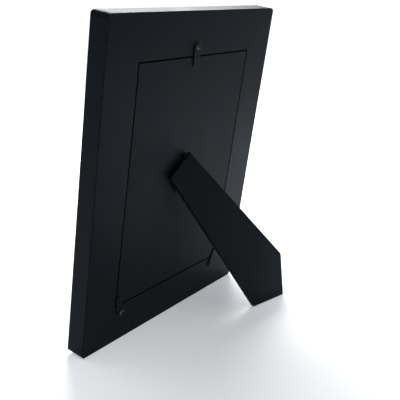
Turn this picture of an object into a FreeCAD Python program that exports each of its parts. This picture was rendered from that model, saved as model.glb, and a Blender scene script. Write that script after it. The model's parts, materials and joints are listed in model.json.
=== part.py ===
import FreeCAD, Part
import math
import os
import re
import Sketcher

# Easel back photo frame for a 127 x 178 mm print, seen open on its leg.
# The row frame has +Z up and the picture facing -Y. Its origin is on the ground, in the middle of
# the footprint.
#
# Every piece is drawn in one of two frames and then stood up:
#   frame back: x to the right as seen from behind, y up the frame, z out of the back, with the
#   origin in the middle of the bottom edge, on the back face;
#   hinge: x along the pin, y up the leg, z out of the leg, with the origin on the pin's axis.

SIZES = {
    # The print and the opening that holds it
    "photo_width": 127,
    "photo_height": 178,
    "photo_thickness": 0.3,
    "rabbet_play": 1,
    # The moulding
    "back_border": 31,
    "lip_width": 6,
    "lip_depth": 5.5,
    "frame_depth": 15,
    "corner_radius": 4,
    "edge_ease": 0.8,
    "sight_bevel": 1.6,
    # The nails that hold each mitre
    "nail_arm": 6,
    "nail_thickness": 0.6,
    "nail_height": 8,
    "nail_cover": 1,
    "nail_clearance": 0.05,
    # The stack in the rabbet
    "glass_thickness": 2,
    "board_thickness": 3,
    "board_gap": 0.8,
    "card_gap": 1.5,
    # The turn buttons and their screws
    "button_inset": 6.4,
    "button_setback": 6.2,
    "button_slant": 16.5,
    "top_button_shift": 3.5,
    "button_reach": 14.2,
    "button_base_radius": 3.15,
    "button_tip_radius": 2.3,
    "button_thickness": 0.9,
    "button_lift": 0.1,
    "button_edge_ease": 0.2,
    "screw_radius": 1.2,
    "screw_length": 9,
    "screw_point": 2.5,
    "screw_head_radius": 2.1,
    "screw_head_height": 1.5,
    "screw_head_rim": 0.5,
    "screw_clearance": 0.06,
    # The easel leg
    "leg_length": 160.2,
    "leg_slant": 37.2,
    "leg_opening": 20.3,
    "leg_top_width": 25.9,
    "leg_foot_width": 56.4,
    "leg_thickness": 3,
    "leg_top_margin": 0.4,
    "leg_shoulder_radius": 2,
    "leg_edge_ease": 0.35,
    "tip_side_inset": 2.5,
    "tip_foot_inset": 0.8,
    # The hinge
    "hinge_standoff": 3.6,
    "leaf_thickness": 0.8,
    "leaf_width": 23,
    "leaf_length": 17,
    "leaf_corner_radius": 2.5,
    "pin_radius": 0.75,
    "pin_clearance": 0.05,
    "pin_head_radius": 1.15,
    "pin_head_thickness": 0.5,
    "knuckle_width": 3.6,
    "middle_knuckle_width": 5,
    "knuckle_clearance": 0.3,
    "stop_clearance": 0.04,
    "heel_margin": 1,
    # The rivets
    "rivet_radius": 0.9,
    "rivet_head_radius": 1.7,
    "rivet_head_height": 0.6,
    "rivet_collar_radius": 1.5,
    "rivet_collar_height": 0.5,
    "rivet_clearance": 0.05,
    "rivet_spread": 15.5,
    "rivet_first_row": 6.5,
    "rivet_row_spacing": 7,
    "leg_rivet_depth": 2.1,
}

# Places of the two nails of a mitre, as shares of the border's width
NAIL_SHARES = (0.3, 0.72)

# Sizes and places that follow from the ones above
WORKED = {
    "rabbet_width": "photo_width + 2 * rabbet_play",
    "rabbet_height": "photo_height + 2 * rabbet_play",
    "outer_width": "rabbet_width + 2 * back_border",
    "outer_height": "rabbet_height + 2 * back_border",
    "rabbet_depth": "frame_depth - lip_depth",
    "card_thickness": "rabbet_depth - glass_thickness - photo_thickness - board_thickness",
    # Half the width of the barrel, and where the leaves' horns start beside it
    "barrel_half": "middle_knuckle_width / 2 + knuckle_clearance + knuckle_width",
    "horn_start": "barrel_half + pin_head_thickness + knuckle_clearance",
    "knuckle_radius": "hinge_standoff / 2 - knuckle_clearance",
    # The leg leaf's horns reach past the pin by the heel, and land on the base leaf when the leg
    # is open: that is the stop
    "leaf_face": "hinge_standoff / 2 - leaf_thickness",
    "heel": "(leaf_face * (1 + cos(leg_opening)) - stop_clearance) / sin(leg_opening)",
    "leg_top": "heel + leg_top_margin",
    # The foot is cut square, so that folded its two edges lie along the frame's bottom and side.
    # Both edges have the same length.
    "leg_taper": "(leg_foot_width - leg_top_width) / 2 / (leg_length + leg_top)",
    "foot_edge": "leg_foot_width / ((1 + leg_taper) * (sin(leg_slant) + cos(leg_slant)))",
    "near_shoulder": "leg_length - foot_edge * cos(leg_slant)",
    "near_half": "leg_foot_width / 2 - leg_taper * foot_edge * cos(leg_slant)",
    "far_shoulder": "leg_length - foot_edge * sin(leg_slant)",
    "far_half": "leg_foot_width / 2 - leg_taper * foot_edge * sin(leg_slant)",
    "tip_offset": "foot_edge * cos(leg_slant) - far_half",
    # The pin's middle, in the frame back's plane, from where the folded tip has to lie
    "hinge_x": "outer_width / 2 - tip_side_inset - leg_length * sin(leg_slant)"
               " - tip_offset * cos(leg_slant)",
    "hinge_y": "tip_foot_inset + leg_length * cos(leg_slant) - tip_offset * sin(leg_slant)",
    # The open leg's tip, on its inner face, which is what touches the ground
    "tip_drop": "leg_length * cos(leg_opening) - hinge_standoff / 2 * sin(leg_opening)",
    "tip_out": "hinge_standoff / 2 * (1 + cos(leg_opening)) + leg_length * sin(leg_opening)",
    "tip_up": "hinge_y - tip_drop * cos(leg_slant) + tip_offset * sin(leg_slant)",
    # The frame leans until its rounded bottom edge and the leg's tip both meet the ground
    "lean": "atan((tip_up - edge_ease) / (tip_out + edge_ease))"
            " + asin(edge_ease / sqrt((tip_up - edge_ease)^2 + (tip_out + edge_ease)^2))",
    "ground_drop": "tip_out * sin(lean) - tip_up * cos(lean)",
    # The footprint runs from the front face's rounded bottom edge to the tip's outer face
    "front_reach": "(frame_depth - edge_ease) * cos(lean) - edge_ease * sin(lean) + edge_ease",
    "back_reach": "(tip_out + leg_thickness * cos(leg_opening)) * cos(lean)"
                  " + (tip_up + leg_thickness * sin(leg_opening) * cos(leg_slant)) * sin(lean)",
    # Where a turn button's straight sides meet its two round ends
    "button_run": "button_reach - button_tip_radius",
    "button_flank": "asin((button_base_radius - button_tip_radius) / button_run)",
    "screw_seat": "button_thickness + 2 * button_lift",
    # Radii of the domes that have a given rise over a given half width
    "screw_dome": "screw_head_height - screw_head_rim",
    "screw_dome_radius": "(screw_head_radius^2 + screw_dome^2) / 2 / screw_dome",
    "rivet_dome_radius": "(rivet_head_radius^2 + rivet_head_height^2) / 2 / rivet_head_height",
}
ANGLES = ("lean", "button_flank")


def place(x, y, z, turn="0"):
    """The formula of a placement at x, y, z, turned about z."""
    return "placement(vector(%s; %s; %s); rotation(vector(0; 0; 1); %s))" % (x, y, z, turn)


# The frame back stood up at its lean, the frame back's middle, the pin, and the leg opened
STANDING = ("placement(vector(0; (front_reach - back_reach) / 2; ground_drop);"
            " rotation(vector(0; sin(45 deg + lean / 2); cos(45 deg + lean / 2)); 180))")
AT_CENTRE = place("0", "outer_height / 2", "0")
AT_HINGE = place("hinge_x", "hinge_y", "hinge_standoff / 2", "leg_slant")
OPENED = "placement(vector(0; 0; 0); rotation(vector(1; 0; 0); -leg_opening))"

doc = FreeCAD.newDocument("easel_back_photo_frame")
sheet = doc.addObject("Spreadsheet::Sheet", "Sizes")
worked = doc.addObject("App::VarSet", "Worked")


def named(formula):
    """The formula with the object that holds each of its names written in front of the name."""
    def owner(match):
        word = match.group(0)
        if word in SIZES:
            return "Sizes." + word
        return "Worked." + word if word in WORKED else word
    return re.sub(r"[a-z_]+", owner, formula)


def value(formula):
    """What the formula comes to now, in millimetres or degrees."""
    found = sheet.evalExpression(named(formula))
    return float(getattr(found, "Value", found))


def fill_sheet():
    for row, (name, size) in enumerate(SIZES.items(), start=1):
        sheet.set("A%d" % row, name.replace("_", " "))
        sheet.set("B%d" % row, str(size))
        sheet.setAlias("B%d" % row, name)
    doc.recompute()
    for name, formula in WORKED.items():
        kind = "App::PropertyAngle" if name in ANGLES else "App::PropertyFloat"
        worked.addProperty(kind, name)
        worked.setExpression(name, named(formula))
        doc.recompute()


def new_body(label, placement=STANDING):
    body = doc.addObject("PartDesign::Body", label)
    body.Label = label
    body.setExpression("Placement", named(placement))
    return body


def origin_feature(body, role):
    return next(each for each in body.Origin.OriginFeatures if each.Role == role)


def sketch_on(body, name, role="XY_Plane", height="0", shift=None):
    """A sketch on one of the body's planes, raised along its normal or moved by a placement."""
    sketch = body.newObject("Sketcher::SketchObject", body.Label + "_" + name)
    sketch.AttachmentSupport = (origin_feature(body, role), [""])
    sketch.MapMode = "FlatFace"
    raised = place("0", "0", height)
    sketch.setExpression("AttachmentOffset", named(raised + " * " + shift if shift else raised))
    return sketch


def bind(sketch, kind, geometry, point, formula):
    """Hold one size or one coordinate of a sketch at a formula."""
    axis = {"DistanceX": -2, "DistanceY": -1}.get(kind)
    if formula == "0":
        sketch.addConstraint(Sketcher.Constraint("PointOnObject", geometry, point, axis))
        return
    size = value(formula)
    if kind == "Radius":
        index = sketch.addConstraint(Sketcher.Constraint(kind, geometry, size))
    else:
        index = sketch.addConstraint(Sketcher.Constraint(kind, geometry, point, size))
    name = "%s_%d" % (kind.lower(), index)
    sketch.renameConstraint(index, name)
    sketch.setExpression("Constraints." + name, named(formula))


def arc_between(start, end, radius, long_way=False):
    """The counterclockwise arc from start to end."""
    chord = end - start
    half = chord.Length / 2
    away = math.sqrt(max(radius * radius - half * half, 0))
    side = FreeCAD.Vector(-chord.y, chord.x, 0).normalize()
    centre = (start + end) / 2 + side * (-away if long_way else away)
    circle = Part.Circle(centre, FreeCAD.Vector(0, 0, 1), radius)
    first = math.atan2(start.y - centre.y, start.x - centre.x)
    last = math.atan2(end.y - centre.y, end.x - centre.x)
    return Part.ArcOfCircle(circle, first, last)


def outline(sketch, corners, arcs=None):
    """A closed outline, counterclockwise. arcs gives (radius, turn) for the stretch that starts at
    a corner, where the turn is left, long left (over half a circle) or right. The other stretches
    are straight."""
    arcs = arcs or {}
    count = len(corners)
    first = sketch.GeometryCount
    places = [FreeCAD.Vector(value(across), value(up), 0) for across, up in corners]
    ends = []
    for index, start in enumerate(places):
        end = places[(index + 1) % count]
        radius, turn = arcs.get(index, (None, "straight"))
        ends.append((2, 1) if turn == "right" else (1, 2))
        if turn == "straight":
            sketch.addGeometry(Part.LineSegment(start, end))
        elif turn == "right":
            sketch.addGeometry(arc_between(end, start, value(radius)))
        else:
            sketch.addGeometry(arc_between(start, end, value(radius), turn == "long left"))
    for index, (across, up) in enumerate(corners):
        following = (index + 1) % count
        sketch.addConstraint(Sketcher.Constraint("Coincident", first + index, ends[index][1],
                                                 first + following, ends[following][0]))
        bind(sketch, "DistanceX", first + index, ends[index][0], across)
        bind(sketch, "DistanceY", first + index, ends[index][0], up)
    for index, (radius, turn) in arcs.items():
        bind(sketch, "Radius", first + index, 0, radius)
    return sketch


def rectangle(sketch, left, right, low, high):
    return outline(sketch, [(left, low), (right, low), (right, high), (left, high)])


def circle(sketch, radius, across="0", up="0"):
    place = FreeCAD.Vector(value(across), value(up), 0)
    shape = Part.Circle(place, FreeCAD.Vector(0, 0, 1), value(radius))
    geometry = sketch.addGeometry(shape)
    bind(sketch, "DistanceX", geometry, 3, across)
    bind(sketch, "DistanceY", geometry, 3, up)
    bind(sketch, "Radius", geometry, 0, radius)
    return sketch


def pad(body, sketch, length, both_ways=False):
    feature = body.newObject("PartDesign::Pad", sketch.Label + "_pad")
    feature.Profile = sketch
    feature.SideType = "Symmetric" if both_ways else "One side"
    feature.setExpression("Length", named(length))
    doc.recompute()
    return feature


def pocket(body, sketch, length, both_ways=False, along_normal=False):
    """A cut that has to take something away."""
    before = body.Shape.Volume
    feature = body.newObject("PartDesign::Pocket", sketch.Label + "_pocket")
    feature.Profile = sketch
    feature.SideType = "Symmetric" if both_ways else "One side"
    feature.Reversed = along_normal
    feature.setExpression("Length", named(length))
    doc.recompute()
    if not body.Shape.Volume < before:
        raise RuntimeError(sketch.Label + " cuts nothing")
    return feature


def revolve(body, sketch, axis):
    feature = body.newObject("PartDesign::Revolution", sketch.Label + "_turned")
    feature.Profile = sketch
    feature.ReferenceAxis = (sketch, [axis])
    feature.Angle = 360
    doc.recompute()
    return feature


def mirror(body, feature, role):
    twin = body.newObject("PartDesign::Mirrored", feature.Label + "_mirrored")
    twin.Originals = [feature]
    twin.MirrorPlane = (origin_feature(body, role), [""])
    body.Tip = twin
    doc.recompute()
    return twin


def ease(body, kind, size, wanted):
    """A fillet or chamfer on the edges of the body's tip that pass the test."""
    tip = body.Tip
    edges = ["Edge%d" % number for number, edge in enumerate(tip.Shape.Edges, start=1)
             if wanted(edge)]
    feature = body.newObject("PartDesign::" + kind, body.Label + "_" + kind.lower())
    feature.Base = (tip, edges)
    feature.setExpression("Radius" if kind == "Fillet" else "Size", named(size))
    body.Tip = feature
    doc.recompute()
    return feature


def at(edge, axis, formula):
    """Whether the whole edge lies at one coordinate along an axis."""
    place = value(formula)
    return all(math.isclose(getattr(vertex.Point, axis), place, abs_tol=1e-6)
               for vertex in edge.Vertexes)


def rail(label, length, placement, screws):
    """One rail, lying along x with its outer edge at y = 0 and its back at z = 0."""
    body = new_body(label, STANDING + " * " + placement)
    section = sketch_on(body, "section", "YZ_Plane")
    outline(section, [
        ("edge_ease", "-frame_depth"),
        ("back_border + lip_width - sight_bevel", "-frame_depth"),
        ("back_border + lip_width", "sight_bevel - frame_depth"),
        ("back_border + lip_width", "-rabbet_depth"),
        ("back_border", "-rabbet_depth"),
        ("back_border", "0"),
        ("edge_ease", "0"),
        ("0", "-edge_ease"),
        ("0", "edge_ease - frame_depth"),
    ], {6: ("edge_ease", "left"), 8: ("edge_ease", "left")})
    pad(body, section, length, both_ways=True)
    mitres(body, length)
    nail_slots(body, length)
    for across in screws:
        hole = sketch_on(body, "screw_hole")
        circle(hole, "screw_radius + screw_clearance", across, "back_border - button_setback")
        pocket(body, hole, "screw_length + screw_clearance")
    return body


def mitres(body, length):
    """Cut both ends at 45 degrees, and round the tips by half of the frame's round corners."""
    past = "back_border + lip_width + corner_radius"
    bulge = "corner_radius * (1 - cos(45))"
    waste = sketch_on(body, "mitre")
    outline(waste, [
        (length + " / 2 - corner_radius", "0"),
        (length + " / 2 - corner_radius", "-corner_radius"),
        (length + " / 2 + corner_radius", "-corner_radius"),
        (length + " / 2 + corner_radius", past),
        (length + " / 2 - (" + past + ")", past),
        (length + " / 2 - " + bulge, bulge),
    ], {5: ("corner_radius", "right")})
    cut = pocket(body, waste, "3 * frame_depth", both_ways=True)
    mirror(body, cut, "YZ_Plane")


def nail_slots(body, length):
    """Slots for one arm of each corner nail, under the back's surface and open to the mitre."""
    slots = sketch_on(body, "nail_slots", height="nail_clearance - nail_cover")
    for share in NAIL_SHARES:
        middle = "%g * back_border" % share
        end = "%s / 2 - %s" % (length, middle)
        rectangle(slots, end + " - nail_arm - nail_clearance", end + " + nail_thickness",
                  middle + " - nail_thickness / 2 - nail_clearance",
                  middle + " + nail_thickness / 2 + nail_clearance")
    cut = pocket(body, slots, "nail_height + 2 * nail_clearance")
    mirror(body, cut, "YZ_Plane")


def build_frame():
    lower_screw = "rabbet_width / 2 - button_inset"
    rails = [
        rail("rail_bottom", "outer_width", place("0", "0", "0"),
             [lower_screw, "button_inset - rabbet_width / 2"]),
        rail("rail_top", "outer_width", place("0", "outer_height", "0", "180"),
             ["top_button_shift"]),
        rail("rail_left", "outer_height", place("outer_width / 2", "outer_height / 2", "0", "90"),
             []),
        rail("rail_right", "outer_height",
             place("-outer_width / 2", "outer_height / 2", "0", "-90"), []),
    ]
    return rails + [corner_nails()]


def corner_nails():
    """Eight L-shaped nails, two in each mitre, one arm in each rail."""
    body = new_body("corner_nails", STANDING + " * " + AT_CENTRE)
    profile = sketch_on(body, "profile", height="-nail_cover - nail_height")
    half = "nail_thickness / 2"
    for share in NAIL_SHARES:
        left = "%g * back_border - outer_width / 2" % share
        low = "%g * back_border - outer_height / 2" % share
        outline(profile, [
            (left + " - " + half, low + " - " + half),
            (left + " + nail_arm", low + " - " + half),
            (left + " + nail_arm", low + " + " + half),
            (left + " + " + half, low + " + " + half),
            (left + " + " + half, low + " + nail_arm"),
            (left + " - " + half, low + " + nail_arm"),
        ])
    one_corner = pad(body, profile, "nail_height")
    corners = body.newObject("PartDesign::MultiTransform", "corner_nails_all")
    corners.Originals = [one_corner]
    steps = []
    for role in ("YZ_Plane", "XZ_Plane"):
        step = body.newObject("PartDesign::Mirrored", "corner_nails_" + role)
        step.MirrorPlane = (origin_feature(body, role), [""])
        steps.append(step)
    corners.Transformations = steps
    body.Tip = corners
    doc.recompute()
    return body


def flat_sheet(label, half_width, half_height, low, thickness):
    """A flat sheet of the stack in the rabbet, from the height of its lower face."""
    body = new_body(label, STANDING + " * " + AT_CENTRE)
    face = sketch_on(body, "outline", height=low)
    rectangle(face, "-(" + half_width + ")", half_width, "-(" + half_height + ")", half_height)
    pad(body, face, thickness)
    return body


def build_stack():
    """The glass, photo, card and board, from the lip to the back."""
    glass = flat_sheet("glass_pane", "photo_width / 2", "photo_height / 2",
                       "-rabbet_depth", "glass_thickness")
    photo = flat_sheet("photo_insert", "photo_width / 2", "photo_height / 2",
                       "glass_thickness - rabbet_depth", "photo_thickness")
    card = flat_sheet("filler_card", "rabbet_width / 2 - card_gap",
                      "rabbet_height / 2 - card_gap",
                      "-board_thickness - card_thickness", "card_thickness")
    board = flat_sheet("backing_board", "rabbet_width / 2 - board_gap",
                       "rabbet_height / 2 - board_gap", "-board_thickness", "board_thickness")
    at_hinge = place("0", "-outer_height / 2", "0") + " * " + AT_HINGE
    holes = sketch_on(board, "rivet_holes", shift=at_hinge)
    rivet_grid(holes, "rivet_radius + rivet_clearance")
    pocket(board, holes, "2 * (board_thickness + hinge_standoff)", both_ways=True)
    recesses = sketch_on(board, "collar_recesses",
                         height="-board_thickness - hinge_standoff / 2", shift=at_hinge)
    rivet_grid(recesses, "rivet_collar_radius + rivet_clearance")
    pocket(board, recesses, "rivet_collar_height + rivet_clearance", along_normal=True)
    return [glass, photo, card, board]


def rivet_grid(sketch, radius):
    """Four holes in two rows, below the pin."""
    for row in ("-rivet_first_row", "-rivet_first_row - rivet_row_spacing"):
        for side in ("-rivet_spread / 2", "rivet_spread / 2"):
            circle(sketch, radius, side, row)


def leaf(label, placement, low, steps):
    """A hinge leaf: a plate with a horn on each side of the barrel, from its right half's steps."""
    body = new_body(label, placement)
    plate = sketch_on(body, "plate", height=low)
    outline(plate, steps + [("-(" + across + ")", up) for across, up in reversed(steps)])
    pad(body, plate, "leaf_thickness")
    ease(body, "Fillet", "leaf_corner_radius", lambda edge: at(edge, "y", "-leaf_length")
         and edge.Vertexes[0].Z != edge.Vertexes[-1].Z)
    holes = sketch_on(body, "rivet_holes")
    rivet_grid(holes, "rivet_radius + rivet_clearance")
    pocket(body, holes, "2 * hinge_standoff", both_ways=True)
    return body


def bore(body):
    hole = sketch_on(body, "bore", "YZ_Plane")
    circle(hole, "pin_radius + pin_clearance")
    pocket(body, hole, "leaf_width", both_ways=True)


def build_hinge():
    """Two leaves on a pin. Opened, the leg leaf's horns land on the base leaf and stop it."""
    root = STANDING + " * " + AT_HINGE
    edge = "leaf_width / 2"
    slot = "-knuckle_radius - knuckle_clearance"
    middle = "middle_knuckle_width / 2"
    beside = middle + " + knuckle_clearance"

    base = leaf("hinge_base_leaf", root, "-hinge_standoff / 2", [
        (edge, "-leaf_length"), (edge, "heel + heel_margin"),
        ("horn_start", "heel + heel_margin"), ("horn_start", slot), ("barrel_half", slot),
        ("barrel_half", "0"), (beside, "0"), (beside, slot)])
    knuckle = sketch_on(base, "knuckle", "YZ_Plane", height=beside)
    circle(knuckle, "knuckle_radius")
    mirror(base, pad(base, knuckle, "knuckle_width"), "YZ_Plane")
    bore(base)

    moving = leaf("hinge_leg_leaf", root + " * " + OPENED, "leaf_face", [
        (edge, "-leaf_length"), (edge, "heel"), ("horn_start", "heel"),
        ("horn_start", slot), (middle, slot), (middle, "0")])
    knuckle = sketch_on(moving, "knuckle", "YZ_Plane")
    circle(knuckle, "knuckle_radius")
    pad(moving, knuckle, "middle_knuckle_width", both_ways=True)
    bore(moving)

    pin = new_body("hinge_pin", root)
    profile = sketch_on(pin, "profile")
    outline(profile, [
        ("-barrel_half - pin_head_thickness", "0"),
        ("barrel_half + pin_head_thickness", "0"),
        ("barrel_half + pin_head_thickness", "pin_radius"),
        ("barrel_half", "pin_head_radius"),
        ("barrel_half", "pin_radius"),
        ("-barrel_half", "pin_radius"),
        ("-barrel_half", "pin_head_radius"),
        ("-barrel_half - pin_head_thickness", "pin_radius"),
    ])
    revolve(pin, profile, "H_Axis")

    base_rivets = rivets("base_rivets", root, "-leaf_face", [
        ("0", "-leaf_thickness - board_thickness"),
        ("rivet_collar_radius", "-leaf_thickness - board_thickness"),
        ("rivet_collar_radius", "rivet_collar_height - leaf_thickness - board_thickness"),
        ("rivet_radius", "rivet_collar_height - leaf_thickness - board_thickness"),
        ("rivet_radius", "0"),
        ("rivet_head_radius", "0"),
        ("0", "rivet_head_height"),
    ], 5)
    leg_rivets = rivets("leg_rivets", root + " * " + OPENED, "leaf_face", [
        ("0", "-rivet_head_height"),
        ("rivet_head_radius", "0"),
        ("rivet_radius", "0"),
        ("rivet_radius", "leaf_thickness + leg_rivet_depth"),
        ("0", "leaf_thickness + leg_rivet_depth"),
    ], 0)
    return [base, moving, pin, base_rivets, leg_rivets]


def rivets(label, placement, seat, corners, dome):
    """Four rivets in the holes' grid, each turned about z from the leaf face it sits on."""
    corner = place("-rivet_spread / 2", "-rivet_first_row - rivet_row_spacing", seat)
    body = new_body(label, placement + " * " + corner)
    profile = sketch_on(body, "profile", "XZ_Plane")
    outline(profile, corners, {dome: ("rivet_dome_radius", "left")})
    one = revolve(body, profile, "V_Axis")
    grid = body.newObject("PartDesign::LinearPattern", label + "_grid")
    grid.Originals = [one]
    grid.Direction = (origin_feature(body, "X_Axis"), [""])
    grid.Direction2 = (origin_feature(body, "Y_Axis"), [""])
    grid.Occurrences = 2
    grid.Occurrences2 = 2
    grid.setExpression("Length", named("rivet_spread"))
    grid.setExpression("Length2", named("rivet_row_spacing"))
    body.Tip = grid
    doc.recompute()
    return body


def build_leg():
    """The tapered leg, opened, with its square foot and the blind holes of its rivets."""
    body = new_body("easel_leg", STANDING + " * " + AT_HINGE + " * " + OPENED)
    board = sketch_on(body, "outline", height="hinge_standoff / 2")
    outline(board, [
        ("-leg_top_width / 2", "leg_top"),
        ("-far_half", "-far_shoulder"),
        ("tip_offset", "-leg_length"),
        ("near_half", "-near_shoulder"),
        ("leg_top_width / 2", "leg_top"),
    ])
    pad(body, board, "leg_thickness")
    ease(body, "Fillet", "leg_shoulder_radius",
         lambda edge: at(edge, "x", "-far_half") or at(edge, "x", "near_half"))
    ease(body, "Chamfer", "leg_edge_ease",
         lambda edge: at(edge, "z", "hinge_standoff / 2 + leg_thickness"))
    holes = sketch_on(body, "rivet_holes", height="hinge_standoff / 2")
    rivet_grid(holes, "rivet_radius + rivet_clearance")
    pocket(body, holes, "leg_rivet_depth + rivet_clearance", along_normal=True)
    return body


def turn_button(label, placement):
    """A tab with a round base about its screw, tapering to a round tip that holds the board in."""
    body = new_body(label, placement)
    tab = sketch_on(body, "outline", height="button_lift")
    outline(tab, [
        ("button_base_radius * cos(button_flank)", "button_base_radius * sin(button_flank)"),
        ("button_tip_radius * cos(button_flank)",
         "button_run + button_tip_radius * sin(button_flank)"),
        ("-button_tip_radius * cos(button_flank)",
         "button_run + button_tip_radius * sin(button_flank)"),
        ("-button_base_radius * cos(button_flank)", "button_base_radius * sin(button_flank)"),
    ], {1: ("button_tip_radius", "left"), 3: ("button_base_radius", "long left")})
    circle(tab, "screw_radius + screw_clearance")
    pad(body, tab, "button_thickness")
    ease(body, "Fillet", "button_edge_ease",
         lambda edge: at(edge, "z", "button_lift + button_thickness"))
    return body


def screw(label, placement):
    """A pan-head screw, turned about z from the point to the domed head."""
    body = new_body(label, placement)
    profile = sketch_on(body, "profile", "XZ_Plane")
    outline(profile, [
        ("0", "-screw_length"),
        ("screw_radius", "screw_point - screw_length"),
        ("screw_radius", "screw_seat"),
        ("screw_head_radius", "screw_seat"),
        ("screw_head_radius", "screw_seat + screw_head_rim"),
        ("0", "screw_seat + screw_head_height"),
    ], {4: ("screw_dome_radius", "left")})
    revolve(body, profile, "V_Axis")
    return body


def build_buttons():
    """Two buttons below the opening, leaning outwards, and one above it."""
    side = "rabbet_width / 2 - button_inset"
    low = "back_border - button_setback"
    high = "outer_height - back_border + button_setback"
    places = {
        "left": place(side, low, "0", "-button_slant"),
        "right": place("-(" + side + ")", low, "0", "button_slant"),
        "top": place("-top_button_shift", high, "0", "180"),
    }
    made = []
    for name, placement in places.items():
        made.append(turn_button("turn_button_" + name, STANDING + " * " + placement))
        made.append(screw("button_screw_" + name, STANDING + " * " + placement))
    return made


def check(pieces):
    for each in doc.Objects:
        if "Invalid" in each.State or "Error" in each.State:
            raise RuntimeError(each.Label + " failed: " + ", ".join(each.State))
    for piece in pieces:
        if piece.Shape.isNull() or not piece.Shape.isValid():
            raise RuntimeError(piece.Label + " has no valid shape")


def write(pieces):
    os.makedirs("parts", exist_ok=True)
    for piece in pieces:
        piece.Shape.exportStep(os.path.join("parts", piece.Label + ".step"))


fill_sheet()
PIECES = build_frame() + build_stack() + build_hinge() + [build_leg()] + build_buttons()
doc.recompute()
check(PIECES)
write(PIECES)
print("%d pieces written, leaning %.2f degrees" % (len(PIECES), value("lean")))
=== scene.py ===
import json
import math
import bpy
from mathutils import Matrix, Vector


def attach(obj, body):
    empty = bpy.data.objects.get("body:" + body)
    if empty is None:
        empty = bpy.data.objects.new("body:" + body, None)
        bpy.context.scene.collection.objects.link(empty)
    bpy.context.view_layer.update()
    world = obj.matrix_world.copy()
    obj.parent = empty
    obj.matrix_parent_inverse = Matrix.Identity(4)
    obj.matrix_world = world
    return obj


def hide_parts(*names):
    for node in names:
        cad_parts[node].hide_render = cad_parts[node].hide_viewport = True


# Looks of an easel back photo frame, seen from behind and open on its leg. Lengths are in metres.

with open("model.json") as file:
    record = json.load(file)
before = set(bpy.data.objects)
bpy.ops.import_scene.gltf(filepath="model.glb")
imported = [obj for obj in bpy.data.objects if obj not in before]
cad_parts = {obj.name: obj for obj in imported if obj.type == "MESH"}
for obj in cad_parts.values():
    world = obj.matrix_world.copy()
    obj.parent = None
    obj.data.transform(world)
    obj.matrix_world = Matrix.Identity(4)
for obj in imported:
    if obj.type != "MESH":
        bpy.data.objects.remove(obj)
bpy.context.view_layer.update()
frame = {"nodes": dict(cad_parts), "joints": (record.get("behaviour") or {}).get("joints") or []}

MM = 0.001
NODES = frame["nodes"]
JOINTS = {joint["name"]: joint for joint in frame["joints"]}
BUTTONS = ("left", "right", "top")

# The screws' pan heads. The seat is their foot's height above the back, and the squarer a head
# is, the steeper its side.
SCREW_RADIUS = 2.1 * MM
SCREW_HEIGHT = 1.5 * MM
SCREW_SEAT = 1.1 * MM
SCREW_SQUARENESS = 2.7
# The rivets' domed heads
RIVET_HEAD_HEIGHT = 0.6 * MM
RIVET_SQUARENESS = 2.1
# How far from its screw a turn button's tip rubs, and how deep the painted shade lies in the gap
# around the board
RUB_RADIUS = 12.4 * MM
GAP_SHADE_DEPTH = 9 * MM

# The near-black tones, from deepest to palest. SHADE is the tone of painted shade.
SHADE = (0.0003, 0.0004, 0.0005)
SOOT = (0.0018, 0.0026, 0.0038)
LACQUER = (0.0018, 0.0034, 0.0053)
INK = (0.0024, 0.0040, 0.0060)
GRAPHITE = (0.0036, 0.0058, 0.0086)
LACQUER_PALE = (0.0036, 0.0063, 0.0093)
SLATE = (0.0046, 0.0074, 0.0108)
WORN = (0.0300, 0.0330, 0.0370)
# The other tones
BARE_STEEL = (0.14, 0.14, 0.145)
CARD_FIBRE = (0.20, 0.15, 0.10)
CARD_BROWN = (0.34, 0.27, 0.19)
CARD_PALE = (0.50, 0.41, 0.30)
SHEET_FIBRE = (0.60, 0.58, 0.53)
SHEET_GREY = (0.74, 0.73, 0.69)
SHEET_PALE = (0.82, 0.81, 0.78)
GLASS_GREEN = (0.72, 0.80, 0.77)
GLASS_DUST = (0.80, 0.80, 0.80)


# Places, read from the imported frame

def reach(node, direction):
    """The least and the greatest distance of a node's points along a direction."""
    along = [point.co.dot(direction) for point in NODES[node].data.vertices]
    return min(along), max(along)


def stand(across, up, out, origin):
    """The matrix of a frame with these three axes and this origin."""
    turned = Matrix((across, up, out)).transposed().to_4x4()
    return Matrix.Translation(origin) @ turned


# The back's own frame: across to the right as seen from behind, up the back, and out of it. Its
# origin is in the middle of the bottom edge, on the back's face.
OUT = Vector(JOINTS["turn_button_top_swivel"]["axis"]).normalized()
ACROSS = Vector((-1, 0, 0))
UP = OUT.cross(ACROSS)
BACK_FACE = reach("rail_left", OUT)[1]
BOTTOM = reach("rail_bottom", UP)[0]
BACK = stand(ACROSS, UP, OUT, BOTTOM * UP + BACK_FACE * OUT)
HALF_WIDTH = reach("rail_left", ACROSS)[1]
HEIGHT = reach("rail_top", UP)[1] - BOTTOM
HALF_BOARD = reach("backing_board", ACROSS)[1]
BORDER = HALF_WIDTH - HALF_BOARD

# The leg's own frame: along its pin, up the leg, and out of its outer face, from the pin's middle
PIN = Vector(JOINTS["leg_fold"]["axis"]).normalized()
OPENING = math.radians(JOINTS["leg_fold"]["range_deg"][1])
LEG_OUT = Matrix.Rotation(-OPENING, 3, PIN) @ OUT
LEG = stand(PIN, LEG_OUT.cross(PIN), LEG_OUT, Vector(JOINTS["leg_fold"]["pos_m"]))

# Where the turn buttons' screws stand on the back, in its own frame
SEATS = [BACK.inverted() @ Vector(JOINTS["turn_button_%s_swivel" % side]["pos_m"])
         for side in BUTTONS]


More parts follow.
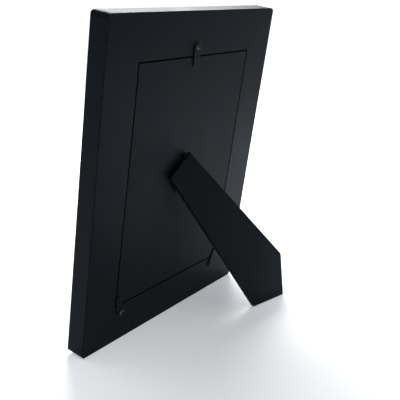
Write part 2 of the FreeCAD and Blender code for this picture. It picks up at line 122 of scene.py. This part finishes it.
def islands(node):
    """The points of each separate solid of a node."""
    mesh = NODES[node].data
    root = {}

    def top(key):
        while root[key] != key:
            key = root[key]
        return key

    def key_of(index):
        return tuple(round(c, 6) for c in mesh.vertices[index].co)

    for face in mesh.polygons:
        keys = [key_of(index) for index in face.vertices]
        for key in keys:
            root.setdefault(key, key)
        for key in keys[1:]:
            root[top(key)] = top(keys[0])
    groups = {}
    for key in root:
        groups.setdefault(top(key), []).append(Vector(key))
    return list(groups.values())


def box(points, standing):
    """The lowest and the highest corner of these points, in a frame of their own."""
    inner = [standing.inverted() @ point for point in points]
    return [Vector(pick(point[axis] for point in inner) for axis in range(3))
            for pick in (min, max)]


# Trees: nodes written as sums

class Link:
    """One output of a node. Sums and comparisons on it add nodes to its tree."""

    def __init__(self, tree, socket):
        self.tree = tree
        self.socket = socket

    def __add__(self, other):
        return self.tree.sum("ADD", self, other)

    def __sub__(self, other):
        return self.tree.sum("SUBTRACT", self, other)

    def __mul__(self, other):
        return self.tree.sum("MULTIPLY", self, other)

    def __truediv__(self, other):
        return self.tree.sum("DIVIDE", self, other)

    def __pow__(self, other):
        return self.tree.sum("POWER", self, other)

    def __radd__(self, other):
        return self.tree.sum("ADD", other, self)

    def __rsub__(self, other):
        return self.tree.sum("SUBTRACT", other, self)

    def __rmul__(self, other):
        return self.tree.sum("MULTIPLY", other, self)

    def __rtruediv__(self, other):
        return self.tree.sum("DIVIDE", other, self)

    def __rpow__(self, other):
        return self.tree.sum("POWER", other, self)

    def __neg__(self):
        return self * -1

    def __abs__(self):
        return self.tree.sum("ABSOLUTE", self)

    def __lt__(self, other):
        return self.tree.sum("LESS_THAN", self, other)

    def __gt__(self, other):
        return self.tree.sum("GREATER_THAN", self, other)

    @property
    def is_vector(self):
        return self.socket.type == "VECTOR"

    def parts(self):
        """The three numbers of a vector."""
        node = self.tree.add("ShaderNodeSeparateXYZ", {}, {0: self})
        return [Link(self.tree, socket) for socket in node.outputs]


def shown(sockets):
    """The sockets that a node's settings leave in use."""
    return [socket for socket in sockets if socket.enabled]


def socket_of(sockets, name):
    """A socket by its number among those in use, or by its name."""
    if isinstance(name, int):
        return shown(sockets)[name]
    return next(socket for socket in shown(sockets) if socket.name == name)


class Tree:
    """Adds nodes to one node tree."""

    def __init__(self, node_tree):
        self.node_tree = node_tree

    def add(self, kind, settings, values):
        """A new node. Its settings are made first, and then the values or links of its sockets."""
        node = self.node_tree.nodes.new(kind)
        for name, setting in settings.items():
            setattr(node, name, setting)
        self.give(node, values)
        return node

    def give(self, node, values):
        """Give a node's inputs their values or links. Only a link may come in a list."""
        for name, value in values.items():
            socket = socket_of(node.inputs, name)
            for each in value if isinstance(value, list) else [value]:
                if isinstance(each, Link):
                    self.node_tree.links.new(each.socket, socket)
                else:
                    socket.default_value = (*each, 1) if socket.type == "RGBA" else each

    def node(self, kind, settings=None, values=None, output=0):
        """One output of a new node."""
        added = self.add(kind, settings or {}, values or {})
        return Link(self, socket_of(added.outputs, output))

    def sum(self, operation, first, second=None):
        """A sum of numbers, or of vectors where either value is one."""
        given = [value for value in (first, second) if value is not None]
        vectors = [isinstance(value, Vector) or isinstance(value, Link) and value.is_vector
                   for value in given]
        if not any(vectors):
            return self.node("ShaderNodeMath", {"operation": operation}, dict(enumerate(given)))
        if operation == "MULTIPLY" and not all(vectors):
            vector, number = given if vectors[0] else reversed(given)
            return self.node("ShaderNodeVectorMath", {"operation": "SCALE"},
                             {0: vector, "Scale": number})
        return self.node("ShaderNodeVectorMath", {"operation": operation}, dict(enumerate(given)))

    def length(self, vector):
        return self.node("ShaderNodeVectorMath", {"operation": "LENGTH"}, {0: vector}, "Value")

    def vector(self, x, y, z):
        return self.node("ShaderNodeCombineXYZ", {}, {0: x, 1: y, 2: z})

    def least(self, *values):
        found = values[0]
        for value in values[1:]:
            found = self.sum("MINIMUM", found, value)
        return found

    def most(self, *values):
        found = values[0]
        for value in values[1:]:
            found = self.sum("MAXIMUM", found, value)
        return found

    def rise(self, value, low, high):
        """0 below low and 1 above high, with a smooth rise between; low may be above high."""
        return self.node("ShaderNodeMapRange", {"interpolation_type": "SMOOTHSTEP"},
                         {"Value": value, "From Min": low, "From Max": high})

    def mix(self, share, first, second):
        """A colour that goes from the first to the second."""
        return self.node("ShaderNodeMix", {"data_type": "RGBA"}, {0: share, 1: first, 2: second})


# Finishes

class Finish(Tree):
    """A material whose pattern lies in a frame of its own, such as the back's or the leg's."""

    def __init__(self, name, standing=BACK):
        self.material = bpy.data.materials.new(name)
        self.material.use_nodes = True
        super().__init__(self.material.node_tree)
        self.shader = self.node_tree.nodes["Principled BSDF"]
        inverse = standing.inverted()
        self.place = self.node("ShaderNodeMapping", {}, {
            "Vector": self.node("ShaderNodeTexCoord", {}, {}, "Object"),
            "Location": inverse.translation, "Rotation": inverse.to_euler()})

    def noise(self, size, detail=2, stretch=(1, 1, 1), rough=0.5, twist=0, shift=0):
        """Cloudy noise from 0 to 1, with features about this size, drawn out by the stretch."""
        drawn = self.place * Vector(1 / (size * each) for each in stretch)
        return self.node("ShaderNodeTexNoise", {}, {
            "Vector": drawn + Vector((shift, shift, shift)), "Scale": 1, "Detail": detail,
            "Roughness": rough, "Distortion": twist})

    def specks(self, size, radius_share, share):
        """Round specks, one in each cell of this size for the given share of the cells."""
        cells = self.add("ShaderNodeTexVoronoi", {"feature": "F1"}, {
            "Vector": self.place, "Scale": 1 / size})
        near = self.rise(Link(self, cells.outputs["Distance"]), radius_share, radius_share / 2)
        chosen = self.node("ShaderNodeSeparateColor", {}, {0: Link(self, cells.outputs["Color"])})
        return near * (chosen < share)

    def hairs(self, size, width_share):
        """Thin curved lines like loose fibres, broken up by a coarser noise."""
        line = self.rise(abs(self.noise(size, 0, twist=1.5) - 0.5), width_share, 0)
        return line * self.rise(self.noise(2.5 * size, 1, shift=7), 0.5, 0.62)

    def off_axis(self, seat):
        """The distance from the line that stands straight out of this seat."""
        return self.length((self.place - seat) * Vector((1, 1, 0)))

    def surface(self, inputs, height=None, depth=0):
        """The material, with these inputs of its shader. The height goes from 0 to 1 over the
        depth."""
        if height is not None:
            bump = self.node("ShaderNodeBump", {}, {"Distance": depth, "Height": height})
            inputs = {**inputs, "Normal": bump}
        self.give(self.shader, inputs)
        return self.material


def lacquer(name, grain_stretch, rough):
    """Black satin lacquer on a planed moulding, with painted shade in the gap around the board."""
    finish = Finish(name)
    grain = finish.noise(0.45 * MM, 3, grain_stretch, rough=0.62)
    pores = finish.rise(finish.noise(0.30 * MM, 1, grain_stretch, shift=3), 0.60, 0.72)
    cloud = finish.noise(24 * MM, 2)
    peel = finish.noise(1.4 * MM, 1, shift=5)
    dust = finish.specks(4.5 * MM, 0.035, 0.30)
    x, y, z = finish.place.parts()
    to_side = HALF_WIDTH - abs(x)
    to_end = HEIGHT / 2 - abs(y - HEIGHT / 2)
    to_rim = finish.least(to_side, to_end)
    rim = finish.rise(to_rim, 1.1 * MM, 0.1 * MM)
    back_edge = finish.rise(abs(z + 0.5 * MM), 1.2 * MM, 0.3 * MM)
    rub = rim * back_edge * finish.rise(finish.noise(1.6 * MM, 3, shift=11), 0.45, 0.62)
    joint = finish.rise(abs(to_side - to_end), 0.16 * MM, 0.04 * MM)
    # Painted shade: the rails' inner walls around the board, down into the gap, are painted almost
    # black and made rough
    gap = finish.rise(to_rim - BORDER, -1.05 * MM, -0.85 * MM) * (z > -GAP_SHADE_DEPTH)
    tone = finish.mix(cloud, LACQUER, LACQUER_PALE)
    tone = finish.mix(grain * 0.35, tone, SOOT)
    tone = finish.mix(dust * 0.5 + rub * 0.25, tone, WORN)
    tone = finish.mix(joint * 0.8, tone, SOOT)
    tone = finish.mix(gap, tone, SHADE)
    roughness = rough + 0.10 * grain + 0.10 * cloud + 0.15 * dust - 0.08 * rub + 0.6 * gap
    height = 0.55 * grain + 0.25 * peel - 0.5 * pores - 1.0 * joint + 0.3 * dust
    return finish.surface({
        "Base Color": tone, "Roughness": roughness, "Specular IOR Level": 0.047,
        "Specular Tint": (0.66, 0.84, 1)}, height, depth=0.022 * MM)


def black_paper(name, standing, tones, marks):
    """Matt black paper over fibreboard: faint pebbling, clouds and a few loose fibres. The marks
    say where it is polished, where it is painted paler as painted light, how deep its dents are,
    and where shade is painted on it."""
    finish = Finish(name, standing)
    pebble = finish.noise(0.55 * MM, 2, rough=0.6)
    felt = finish.noise(0.16 * MM, 1, shift=4)
    cloud = finish.noise(20 * MM, 3, shift=2)
    wave = finish.noise(45 * MM, 0, shift=9)
    hairs = finish.hairs(3.2 * MM, 0.006)
    dust = finish.specks(6 * MM, 0.03, 0.25)
    paler_and_smoother, dent, painted_shade = marks(finish)
    tone = finish.mix(0.30 * pebble + 0.70 * cloud, *tones)
    tone = finish.mix(hairs * 0.30 + dust * 0.55, tone, WORN)
    tone = finish.mix(paler_and_smoother * 0.35, tone, SLATE)
    # Painted shade: where the marks ask for it, the paper is painted almost black and made rough
    tone = finish.mix(painted_shade, tone, SHADE)
    roughness = 0.47 + 0.10 * cloud + 0.12 * pebble - 0.14 * paler_and_smoother + 0.5 * painted_shade
    height = 0.50 * pebble + 0.18 * felt + 0.25 * hairs + 6 * wave + 0.3 * dust + dent
    return finish.surface({
        "Base Color": tone, "Roughness": roughness, "Specular IOR Level": 0.064,
        "Specular Tint": (0.72, 0.88, 1)}, height, depth=0.05 * MM)


def board_marks(finish):
    """Arcs that the turn buttons' tips have polished on the board as they turned, and painted
    shade around its rim, next to the gap."""
    rubs = []
    for seat in SEATS:
        ring = finish.rise(abs(finish.off_axis(seat) - RUB_RADIUS), 0.9 * MM, 0.2 * MM)
        rubs.append(ring * finish.rise(finish.noise(2.2 * MM, 2, shift=15), 0.42, 0.60))
    paler_and_smoother = finish.most(*rubs)
    x, y = finish.place.parts()[:2]
    # Painted shade along the board's rim, darkest at its very edge
    to_rim = finish.least(HALF_BOARD - abs(x), HEIGHT / 2 - BORDER - abs(y - HEIGHT / 2))
    return paler_and_smoother, -0.3 * paler_and_smoother, finish.rise(to_rim, 0.40 * MM, 0.1 * MM)


def leg_marks(finish):
    """Four faint marks where the rivets' ends press against the paper from inside the leg, and a
    foot made smoother and painted paler: painted light, brighter towards the end of the leg."""
    bumps = []
    for points in islands("leg_rivets"):
        low, high = box(points, LEG)
        bumps.append(finish.rise(finish.off_axis((low + high) / 2), 1.5 * MM, 0.7 * MM))
    bump = finish.most(*bumps)
    bump_rim = bump * (1 - bump) * 4
    y = finish.place.parts()[1]
    # Painted light: the leg grows paler, and smoother, towards its foot
    foot = finish.rise(y, -95 * MM, -165 * MM)
    return finish.most(bump_rim * 0.6, foot), 1.2 * bump, 0


def enamel(name, wear):
    """Black enamel on pressed steel, rubbed to bare metal along the edges that face out."""
    finish = Finish(name)
    peel = finish.noise(0.8 * MM, 1)
    cloud = finish.noise(5 * MM, 2, shift=2)
    scratch = finish.noise(0.22 * MM, 2, (1, 30, 1), shift=6)
    facing = finish.node("ShaderNodeVectorMath", {"operation": "DOT_PRODUCT"}, {
        0: finish.node("ShaderNodeTexCoord", {}, {}, "Normal"), 1: OUT}, "Value")
    edge = finish.rise(facing, 0.15, 0.45) * finish.rise(facing, 0.985, 0.90)
    bare = edge * finish.rise(finish.noise(1.1 * MM, 3, shift=8), 0.38, 0.62)
    tone = finish.mix(cloud, SOOT, INK)
    tone = finish.mix(finish.rise(scratch, 0.60, 0.72) * 0.3, tone, WORN)
    tone = finish.mix(bare * wear, tone, BARE_STEEL)
    roughness = 0.42 + 0.12 * cloud + 0.06 * peel - 0.12 * bare
    height = 0.7 * peel + 0.2 * scratch - 0.3 * bare
    return finish.surface({
        "Base Color": tone, "Metallic": bare * wear, "Roughness": roughness,
        "Specular IOR Level": 0.05, "Specular Tint": (0.80, 0.92, 1)}, height, depth=0.02 * MM)


def steel(name, dull, bright, rough, standing=BACK):
    """Drawn or turned steel, dulled in patches."""
    finish = Finish(name, standing)
    cloud = finish.noise(1.2 * MM, 3)
    line = finish.noise(0.08 * MM, 2, (1, 1, 14), shift=3)
    tone = finish.mix(0.7 * cloud + 0.3 * line, dull, bright)
    return finish.surface({"Base Color": tone, "Metallic": 1, "Roughness": rough + 0.16 * cloud},
                          line, depth=0.006 * MM)


def screw_steel(name, dull, bright):
    """Dulled plated steel, with painted shade in the cross recesses and over the middle of each
    head around them.
    """
    finish = Finish(name)
    cloud = finish.noise(1.2 * MM, 3)
    turned = finish.noise(0.1 * MM, 2, (1, 1, 3), shift=3)
    z = finish.place.parts()[2]
    painted_shade = []
    for seat in SEATS:
        run = finish.off_axis(seat) / SCREW_RADIUS
        dome = finish.most(1 - run ** SCREW_SQUARENESS, 0) ** 0.5
        depth = SCREW_SEAT + SCREW_HEIGHT * dome - z
        # Painted shade: the cross recesses, and the middle of each head around them, are painted
        # dark and made rough
        painted_shade.append(finish.rise(depth, 0.06 * MM, 0.35 * MM) * (run < 0.75))
        painted_shade.append(finish.rise(run, 0.80, 0.45) * 0.65)
    painted_shade_share = finish.most(*painted_shade)
    tone = finish.mix(0.7 * cloud + 0.3 * turned, dull, bright)
    tone = finish.mix(painted_shade_share, tone, SOOT)
    roughness = 0.22 + 0.14 * cloud + 0.5 * painted_shade_share
    return finish.surface({"Base Color": tone, "Metallic": 1, "Roughness": roughness},
                          turned, depth=0.006 * MM)


def card(name):
    """Grey-brown card, flecked with darker fibres."""
    finish = Finish(name)
    felt = finish.noise(0.3 * MM, 3, (1, 4, 1))
    cloud = finish.noise(16 * MM, 2, shift=2)
    tone = finish.mix(0.5 * felt + 0.5 * cloud, CARD_BROWN, CARD_PALE)
    tone = finish.mix(finish.hairs(2.5 * MM, 0.008), tone, CARD_FIBRE)
    return finish.surface({"Base Color": tone, "Roughness": 0.82 + 0.1 * felt},
                          felt, depth=0.05 * MM)


def blank_sheet(name):
    """The plain matt sheet that lies where a photo goes."""
    finish = Finish(name)
    felt = finish.noise(0.25 * MM, 3)
    cloud = finish.noise(30 * MM, 2, shift=2)
    tone = finish.mix(0.4 * felt + 0.6 * cloud, SHEET_GREY, SHEET_PALE)
    tone = finish.mix(finish.hairs(3 * MM, 0.006) * 0.3, tone, SHEET_FIBRE)
    return finish.surface({"Base Color": tone, "Roughness": 0.62 + 0.1 * felt},
                          felt, depth=0.015 * MM)


def float_glass(name):
    """Clear glass with a faint green body, wiped in curves and a little dusty."""
    finish = Finish(name)
    dust = finish.specks(5 * MM, 0.03, 0.3)
    smear = finish.noise(18 * MM, 3, twist=0.6)
    return finish.surface({
        "Base Color": finish.mix(dust * 0.3, GLASS_GREEN, GLASS_DUST),
        "Roughness": 0.02 + 0.08 * finish.rise(smear, 0.5, 0.8) + 0.3 * dust,
        "Specular IOR Level": 1, "Alpha": 0.14})


FINISHES = {
    "moulding level": lacquer("moulding_level", grain_stretch=(22, 1, 1), rough=0.38),
    "moulding upright": lacquer("moulding_upright", grain_stretch=(1, 22, 1), rough=0.33),
    "board": black_paper("board_cover", BACK, tones=(SOOT, GRAPHITE), marks=board_marks),
    "leg": black_paper("leg_cover", LEG, tones=(SOOT, INK), marks=leg_marks),
    "leaf": enamel("black_steel", wear=0.08),
    "button": enamel("button_steel", wear=0.8),
    "rivet": steel("rivet_steel", dull=(0.05, 0.05, 0.053), bright=(0.12, 0.12, 0.125),
                   rough=0.36),
    "screw": screw_steel("screw_steel", dull=(0.045, 0.045, 0.047), bright=(0.130, 0.130, 0.136)),
    "pin": steel("pin_steel", dull=(0.05, 0.05, 0.052), bright=(0.13, 0.13, 0.135), rough=0.34,
                 standing=LEG),
    "nail": steel("nail_steel", dull=(0.40, 0.40, 0.41), bright=(0.58, 0.58, 0.59), rough=0.3),
    "card": card("filler_card_face"),
    "sheet": blank_sheet("blank_sheet"),
    "glass": float_glass("float_glass"),
}
DRESS = {
    "rail_top": "moulding level", "rail_bottom": "moulding level",
    "rail_left": "moulding upright", "rail_right": "moulding upright",
    "backing_board": "board", "easel_leg": "leg", "filler_card": "card",
    "photo_insert": "sheet", "glass_pane": "glass", "corner_nails": "nail",
    "hinge_base_leaf": "leaf", "hinge_leg_leaf": "leaf", "hinge_pin": "pin",
    "turn_button_left": "button", "turn_button_right": "button", "turn_button_top": "button",
}
for node, finish_name in DRESS.items():
    for slot in NODES[node].material_slots:
        slot.material = FINISHES[finish_name]


# Screws and rivets: small turned parts, one on each point

# Runs just past a turned part's first row of points, and just short of its last one
FIRST_ROW, LAST_ROW = 0.001, 0.999


class Shop(Tree):
    """A tree that sets a turned part on each point of a mesh. Its sizes are in millimetres."""

    def __init__(self, name):
        super().__init__(bpy.data.node_groups.new(name, "GeometryNodeTree"))
        self.entry = self.add("NodeGroupInput", {}, {})
        self.points = self.given("Geometry", "Geometry")

    def given(self, name, kind="Float"):
        """A named input of the tree."""
        named = self.node_tree.interface.new_socket(
            name, in_out="INPUT", socket_type="NodeSocket" + kind)
        return Link(self, next(socket for socket in self.entry.outputs
                               if socket.identifier == named.identifier))

    def turned(self, around, rows, profile):
        """A surface turned about Z. The profile gives the radius and the height at an angle and at
        a run from 0 to 1, up the outside."""
        sheet = self.node("GeometryNodeMeshGrid", {}, {
            "Size X": 1, "Size Y": 1, "Vertices X": around + 1, "Vertices Y": rows})
        x, y = self.node("GeometryNodeInputPosition").parts()[:2]
        angle = 2 * math.pi * (x + 0.5)
        radius, height = profile(angle, y + 0.5)
        place = self.vector(radius * self.sum("COSINE", angle), radius * self.sum("SINE", angle),
                            height)
        formed = self.node("GeometryNodeSetPosition", {}, {"Geometry": sheet, "Position": place})
        return self.node("GeometryNodeMergeByDistance", {}, {
            "Geometry": formed, "Distance": 0.001})

    def cap(self, radius, height, seat, squareness):
        """A round cap, flat below. The squarer it is, the steeper its side."""
        def profile(angle, run):
            turn = math.pi * run
            out = self.most(self.sum("SINE", turn), 0) ** (2 / squareness)
            up = self.most(-self.sum("COSINE", turn), 0)
            return radius * out, seat + height * up
        return self.turned(around=48, rows=33, profile=profile)

    def threaded(self, radius, top, length, point, pitch, thread):
        """A shank with a spiral thread that fades in below the surface, pointed at its end."""
        def profile(angle, run):
            height = run * (top + length) - length
            turn = 2 * math.pi * height / pitch - angle
            crest = (0.5 + 0.5 * self.sum("COSINE", turn)) ** 2
            groove = thread * (1 - crest) * self.rise(height, -0.3, -1)
            taper = self.least((height + length) / point, 1)
            return (radius - groove) * taper * (run < LAST_ROW), height
        return self.turned(around=24, rows=105, profile=profile)

    def plain(self, radius, top, foot):
        """A plain shank, closed at both ends."""
        def profile(angle, run):
            return radius * (run > FIRST_ROW) * (run < LAST_ROW), foot + (top - foot) * run
        return self.turned(around=24, rows=5, profile=profile)

    def clinch(self, radius, height, foot, hollow):
        """A shank's rolled end, with the hollow that the rolling left in it."""
        def profile(angle, run):
            turn = math.pi * run
            out = self.most(self.sum("SINE", turn), 0) ** 0.6
            dip = self.rise(radius * out, hollow, 0.5 * hollow) * (run < 0.5)
            return radius * out, foot + height * (0.5 - 0.5 * self.sum("COSINE", turn) + 0.5 * dip)
        return self.turned(around=40, rows=33, profile=profile)

    def cross(self, half, width, depth, top):
        """The two bars that cut a cross recess, narrower towards its foot. They start a little
        above the top."""
        above = 0.2
        x, y, z = self.node("GeometryNodeInputPosition").parts()
        down = 0.5 - z
        narrow = 1 - 0.45 * down
        place = self.vector(2 * half * x * narrow, width * y * narrow,
                            top + above - (depth + above) * down)
        bar = self.node("GeometryNodeSetPosition", {}, {
            "Geometry": self.node("GeometryNodeMeshCube"), "Position": place})
        other = self.node("GeometryNodeTransform", {}, {
            "Geometry": bar, "Rotation": (0, 0, math.pi / 2)})
        return [bar, other]

    def set_out(self, parts):
        """End the tree: one part on each point, turned by chance about its own axis."""
        joined = self.node("GeometryNodeJoinGeometry", {}, {"Geometry": parts})
        smooth = self.node("GeometryNodeSetShadeSmooth", {}, {"Geometry": joined})
        bend = self.node("GeometryNodeInputMeshEdgeAngle")
        sharp_bend = 0.6
        creased = self.node("GeometryNodeSetShadeSmooth", {"domain": "EDGE"}, {
            "Geometry": smooth, "Selection": bend > sharp_bend, "Shade Smooth": False})
        chance = self.node("FunctionNodeRandomValue", {}, {"Max": 2 * math.pi, "Seed": 4})
        spin = self.node("FunctionNodeAxisAngleToRotation", {}, {
            "Axis": (0, 0, 1), "Angle": chance})
        facing = self.node("FunctionNodeAlignRotationToVector", {"axis": "Z"}, {
            "Rotation": spin, "Vector": self.given("Axis", "Vector")})
        placed = self.node("GeometryNodeInstanceOnPoints", {}, {
            "Points": self.points, "Instance": creased, "Rotation": facing,
            "Scale": (MM, MM, MM)})
        real = self.node("GeometryNodeRealizeInstances", {}, {"Geometry": placed})
        dressed = self.node("GeometryNodeSetMaterial", {}, {
            "Geometry": real, "Material": self.given("Material", "Material")})
        self.node_tree.interface.new_socket(
            "Geometry", in_out="OUTPUT", socket_type="NodeSocketGeometry")
        self.add("NodeGroupOutput", {}, {0: dressed})


def pan_head_screws():
    """Pan-head screws with a cross recess. Each stands on a point of the back's surface."""
    shop = Shop("pan_head_screws")
    radius, height, seat = (shop.given(name) for name in ("Head Radius", "Head Height", "Seat"))
    shank, length, point = (shop.given(name) for name in ("Shank Radius", "Length", "Point"))
    pitch, thread = (shop.given(name) for name in ("Pitch", "Thread Depth"))
    half, width, depth = (shop.given(name) for name in ("Recess Reach", "Recess Width",
                                                        "Recess Depth"))
    head = shop.node("GeometryNodeMeshBoolean", {"operation": "DIFFERENCE", "solver": "EXACT"}, {
        "Mesh 1": shop.cap(radius, height, seat, SCREW_SQUARENESS),
        "Mesh 2": shop.cross(half, width, depth, seat + height)})
    body = shop.threaded(shank, seat + 0.1, length, point, pitch, thread)
    shop.set_out([head, body])
    return shop


def tubular_rivets():
    """Domed rivets, rolled over at the far end. Each stands on the point at its head's seat."""
    shop = Shop("tubular_rivets")
    radius, height = (shop.given(name) for name in ("Head Radius", "Head Height"))
    shank, grip = (shop.given(name) for name in ("Shank Radius", "Grip"))
    collar, rolled, hollow = (shop.given(name) for name in ("Collar Radius", "Collar Height",
                                                            "Hollow Radius"))
    shop.set_out([
        shop.cap(radius, height, 0, RIVET_SQUARENESS),
        shop.plain(shank, 0.1, 0.2 * rolled - grip),
        shop.clinch(collar, rolled, -grip, hollow)])
    return shop


def made_by(shop, name, points, body, nodes, slot, finish_name, **sizes):
    """Make the plain mesh that a tree sets on these points. It rides on a body, in the place of
    its nodes."""
    dots = bpy.data.meshes.new(name + "_points")
    dots.from_pydata(points, [], [])
    source = bpy.data.objects.new(name + "_points", dots)
    bpy.context.scene.collection.objects.link(source)
    modifier = source.modifiers.new(name, "NODES")
    modifier.node_group = shop.node_tree
    sizes["material"] = FINISHES[finish_name]
    for socket in shop.node_tree.interface.items_tree:
        wanted = socket.name.replace(" ", "_").lower()
        if socket.in_out == "INPUT" and wanted in sizes:
            modifier[socket.identifier] = sizes[wanted]
    evaluated = source.evaluated_get(bpy.context.evaluated_depsgraph_get())
    piece = bpy.data.objects.new(name, bpy.data.meshes.new_from_object(evaluated))
    bpy.context.scene.collection.objects.link(piece)
    bpy.data.objects.remove(source)
    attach(piece, body)
    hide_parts(*nodes)


made_by(pan_head_screws(), "button_screws", [BACK @ Vector((seat.x, seat.y, 0)) for seat in SEATS],
        "frame", ["button_screw_%s" % side for side in BUTTONS], "screw_steel", "screw",
        head_radius=SCREW_RADIUS / MM, head_height=SCREW_HEIGHT / MM, seat=SCREW_SEAT / MM,
        shank_radius=1.2, length=9.0, point=2.5, pitch=1.0, thread_depth=0.32,
        recess_reach=1.35, recess_width=0.7, recess_depth=1.0, axis=OUT)

# The base's rivets have their heads outwards (1), and the leg's have them inwards (-1)
rivets = tubular_rivets()
for node, body, standing, side in (("base_rivets", "frame", BACK, 1),
                                   ("leg_rivets", "leg", LEG, -1)):
    seats = []
    for points in islands(node):
        low, high = box(points, standing)
        tip = high.z if side > 0 else low.z
        across, up = (low.x + high.x) / 2, (low.y + high.y) / 2
        seats.append(standing @ Vector((across, up, tip - side * RIVET_HEAD_HEIGHT)))
        grip = high.z - low.z - RIVET_HEAD_HEIGHT
    made_by(rivets, node + "_dressed", seats, body, [node], "rivet_steel", "rivet",
            head_radius=1.7, head_height=RIVET_HEAD_HEIGHT / MM, shank_radius=0.9,
            grip=grip / MM, collar_radius=1.5, collar_height=0.5, hollow_radius=0.6,
            axis=side * (standing.to_3x3() @ Vector((0, 0, 1))))


# The studio

def pale_floor():
    """A wide pale floor under the object. Its glow is painted light: it glows least in a patch
    behind the object, on the side away from the camera, a painted shade that the back reflects."""
    half = 30
    mesh = bpy.data.meshes.new("studio_floor")
    corners = [(-half, -half, 0), (half, -half, 0), (half, half, 0), (-half, half, 0)]
    mesh.from_pydata(corners, [], [(0, 1, 2, 3)])
    floor = bpy.data.objects.new("studio_floor", mesh)
    bpy.context.scene.collection.objects.link(floor)
    finish = Finish("studio_floor", Matrix())
    patch = Vector((-0.5, 0.4, 0))
    far = finish.rise(finish.length(finish.place - patch), 0.45, 1.2)
    # Painted light: the floor glows near white far out, and dim and bluish in the patch, which the
    # back's reflections pick up
    painted_glow = finish.mix(far, (0.18, 0.195, 0.21), (0.90, 0.90, 0.90))
    mesh.materials.append(finish.surface({
        "Base Color": (0.86, 0.86, 0.86), "Roughness": 0.9, "Specular IOR Level": 0,
        "Emission Color": painted_glow, "Emission Strength": 1}))


def softbox(name, place, aim, size, watts, spread=180, colour=(1, 1, 1)):
    """A square lamp. A narrow spread, in degrees, keeps its light in a pool."""
    light = bpy.data.lights.new(name, "AREA")
    light.shape = "SQUARE"
    light.size = size
    light.energy = watts
    light.spread = math.radians(spread)
    light.color = colour
    lamp = bpy.data.objects.new(name, light)
    lamp.location = place
    lamp.rotation_euler = (Vector(aim) - Vector(place)).to_track_quat("-Z", "Y").to_euler()
    bpy.context.scene.collection.objects.link(lamp)


def photographs_camera():
    """The camera of the photograph. It stood behind the frame, to the left as seen from there."""
    place = Vector((0.3885, 0.2875, 0.2515))
    heading, down, roll = (math.radians(angle) for angle in (-125.52, 17.36, 0.466))
    focal_pixels, picture_pixels = 667.9, 400
    forward = Vector((math.cos(down) * math.sin(heading), math.cos(down) * math.cos(heading),
                      -math.sin(down)))
    right = forward.cross(Vector((0, 0, 1))).normalized()
    above = right.cross(forward)
    turned = Matrix.Rotation(-roll, 3, forward) @ Matrix((right, above, -forward)).transposed()
    lens = bpy.data.cameras.new("photograph")
    lens.sensor_width = 36
    lens.lens = lens.sensor_width * focal_pixels / picture_pixels
    lens.clip_start = 0.01
    camera = bpy.data.objects.new("photograph", lens)
    camera.matrix_world = Matrix.Translation(place) @ turned.to_4x4()
    bpy.context.scene.collection.objects.link(camera)
    bpy.context.scene.camera = camera


def studio_light():
    """A sky that is pale at the horizon, and four softboxes."""
    world = bpy.data.worlds.new("studio")
    world.use_nodes = True
    sky = Tree(world.node_tree)
    up = sky.node("ShaderNodeTexCoord", {}, {}, "Generated").parts()[2]
    sky.give(sky.node_tree.nodes["Background"], {
        "Color": sky.mix(sky.rise(up, 0, 0.2), (0.92, 0.94, 0.96), (0.25, 0.26, 0.27))})
    bpy.context.scene.world = world
    middle_of_frame = (0, 0, 0.12)
    softbox("key", (-0.6, -0.45, 0.75), (-0.3, 0.1, 0), size=0.5, watts=14)
    softbox("floor_pool", (-0.33, 0.12, 0.5), (-0.33, 0.12, 0), size=0.12, watts=0.75, spread=60,
            colour=(0.78, 0.89, 1))
    softbox("overhead", (0.2, 0.2, 1.9), middle_of_frame, size=1.6, watts=6)
    softbox("front_fill", (0.5, -1.5, 0.9), middle_of_frame, size=1.2, watts=4)


pale_floor()
studio_light()
photographs_camera()
bpy.context.scene.view_settings.view_transform = "Standard"
